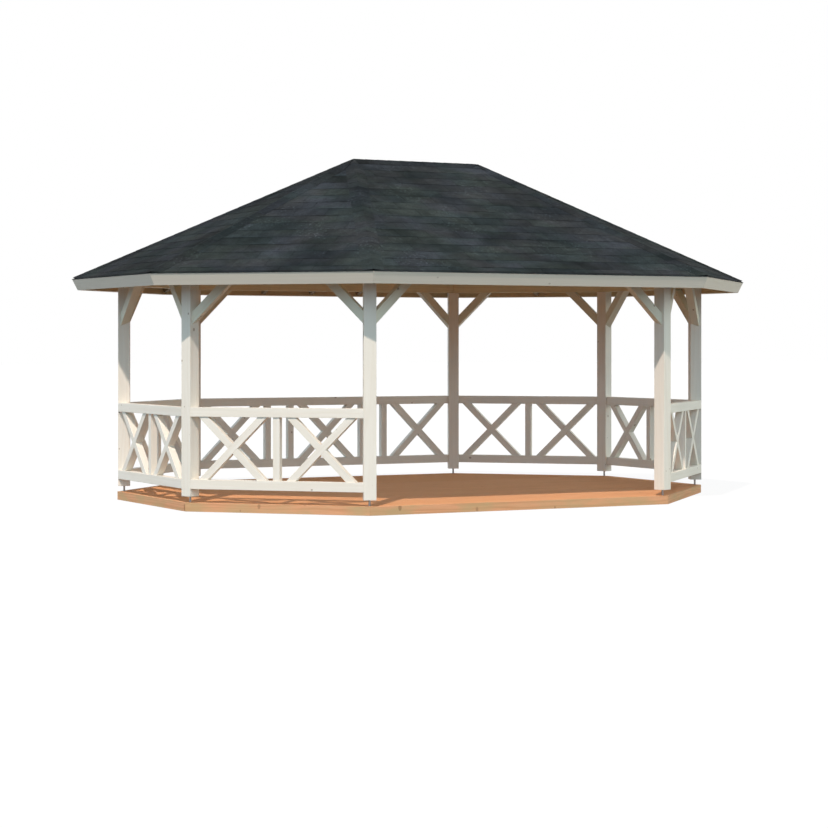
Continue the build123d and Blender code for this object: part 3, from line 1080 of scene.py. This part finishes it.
def makeCaps():
    tree = capTree()
    normals = [facetMatrix(i).to_3x3() @ Vector((0, 0, 1)) for i in range(8)]
    eaveOverHip = atan(1 / cos(roofPitch) / halfTurn)
    capTaper = halfTurn * cos(roofPitch) * cos(radians(10))
    courses = float(ceil(fasciaReach / cos(roofPitch) / shingleValues["Exposure"]))
    meshes = []
    for i in range(8):
        start = cornerPoint(i, fasciaReach, eaveHeight)
        up = (normals[i] + normals[i - 1]).normalized()
        meshes.append(capRun(tree, start, ridgeEnds[start.x > 0], up, 0.25 * courses, {
            "Fall": tan(up.angle(normals[i])), "Foot Slant": 1 / tan(eaveOverHip), "Head Taper": capTaper,
            "Foot Cut": capValues["footCut"], "Crown": capValues["hipCrown"], "First Course": 1.0,
            "Facet Tone": hipShades[postNames[i]], "Seed": 300 + i}))
    meshes.append(capRun(tree, *ridgeEnds, Vector((0, 0, 1)), 0.0, {
        "Fall": tan(roofPitch), "Head Taper": 100.0, "Crown": capValues["ridgeCrown"],
        "First Course": courses - 1.0, "Facet Tone": capValues["ridgeTone"], "Seed": 310}))
    makeObject("ridge_and_hip_cap_tabs", joinMeshes("capTabs", meshes), mineralShingle, "shingle",
               "ridge_and_hip_caps")


makeDeck()
print("deck laid")
makeFrame()
print("frame dressed")
for sideNumber in range(1, 8):
    makeRailing(sideNumber)
print("railings made")
makeCeiling()
makeUnderlay()
makeShingles()
makeCaps()
print("roof made")


studio = {
    "sunStrength": 2.86,
    "sunAngle": 1.2,
    "sunHeading": 40.2,
    "sunHeight": 52.8,
    "sunColour": (1.0, 0.880, 0.79),
    "skyStrength": 1.35,
    # sine of the height above the horizon, and the colour there
    "sky": ((0.0, (0.03, 0.03, 0.03)), (0.09, (0.53, 0.79, 0.96)), (0.22, (0.63, 0.78, 0.90)),
            (0.45, (0.63, 0.87, 0.99)), (1.0, (0.18, 0.05, 0.05))),
    # a broad soft lamp low on the right
    "fillHeading": -4.0,
    "fillColour": (1.36, 1.13, 0.58),
    "fillFocus": 3.5,
    "floorColour": 0.10,
    "floorShow": 0.90,
    "floorSize": 150,
    "floorDrop": 0.002,
}


def shownAsWhite(tree):
    # 1 for what the camera sees, straight or in metal and glass
    rays = put(tree, "ShaderNodeLightPath").outputs
    return larger(tree, rays["Is Camera Ray"], rays["Is Glossy Ray"], rays["Is Transmission Ray"])


def makeFloor():
    material, tree, shader = startMaterial("studioFloor")
    tone = studio["floorColour"]
    cloud = ranged(tree, noise(tree, objectPlace(tree), 0.4), 0.3, 0.7, tone, tone * 1.02)
    tree.links.new(grey(tree, cloud), shader.inputs["Base Color"])
    mattFinish(shader, 0.95, 0.0)
    shader.inputs["Emission Color"].default_value = (1, 1, 1, 1)
    show = times(tree, shownAsWhite(tree), studio["floorShow"])
    tree.links.new(show, shader.inputs["Emission Strength"])
    mesh = bpy.data.meshes.new("studioFloor")
    size = studio["floorSize"]
    corners = [(x * size, y * size, -studio["floorDrop"]) for x, y in ((-1, -1), (1, -1), (1, 1), (-1, 1))]
    mesh.from_pydata(corners, [], [(0, 1, 2, 3)])
    mesh.materials.append(material)
    floor = newObject("studio_floor", mesh)


def makeWorld():
    world = bpy.data.worlds.new("studioWorld")
    bpy.context.scene.world = world
    world.use_nodes = True
    tree = world.node_tree
    tree.nodes.clear()
    east, north, up = splitXyz(tree, put(tree, "ShaderNodeTexCoord").outputs["Generated"])
    ramp = put(tree, "ShaderNodeValToRGB", {0: up})
    while len(ramp.color_ramp.elements) < len(studio["sky"]):
        ramp.color_ramp.elements.new(0.5)
    for element, (height, colour) in zip(ramp.color_ramp.elements, studio["sky"]):
        element.position = height
        element.color = rgba(colour)
    sky = tinted(tree, ramp.outputs[0], [studio["skyStrength"]] * 3)
    heading = radians(studio["fillHeading"])
    facing = add(tree, times(tree, east, cos(heading)), times(tree, north, sin(heading)))
    fill = calc(tree, "POWER", larger(tree, facing, 0.0), studio["fillFocus"])
    fill = times(tree, fill, calc(tree, "GREATER_THAN", up, 0.0))
    sky = addVectors(tree, sky, tinted(tree, grey(tree, fill), studio["fillColour"]))
    shown = mixColour(tree, shownAsWhite(tree), sky, (1, 1, 1))
    background = get(tree, "ShaderNodeBackground", {"Color": shown, "Strength": 1.0})
    output = tree.nodes.new("ShaderNodeOutputWorld")
    tree.links.new(background, output.inputs[0])


def makeSun():
    light = bpy.data.lights.new("keySun", "SUN")
    light.energy = studio["sunStrength"]
    light.angle = radians(studio["sunAngle"])
    light.color = studio["sunColour"]
    sun = newObject("keySun", light)
    heading, height = radians(studio["sunHeading"]), radians(studio["sunHeight"])
    travel = Vector((sin(heading) * cos(height), cos(heading) * cos(height), -sin(height)))
    sun.rotation_euler = travel.to_track_quat("-Z", "Y").to_euler()
    sun.location = (-6, -9, 12)


cameraValues = {
    "place": (-10.956, -20.859, 1.5844),
    "heading": 27.647,
    "lens": 97.376,
    "shiftX": 0.0004,
    "shiftY": -0.08295,
}


def makeCamera():
    data = bpy.data.cameras.new("mainCamera")
    data.sensor_width = 36
    data.lens = cameraValues["lens"]
    data.shift_x = cameraValues["shiftX"]
    data.shift_y = cameraValues["shiftY"]
    data.clip_end = 500
    camera = newObject("mainCamera", data)
    camera.location = cameraValues["place"]
    camera.rotation_euler = (radians(90), 0, -radians(cameraValues["heading"]))
    bpy.context.scene.camera = camera


makeFloor()
makeWorld()
makeSun()
makeCamera()
bpy.context.scene.view_settings.view_transform = "Standard"
print("stage set")
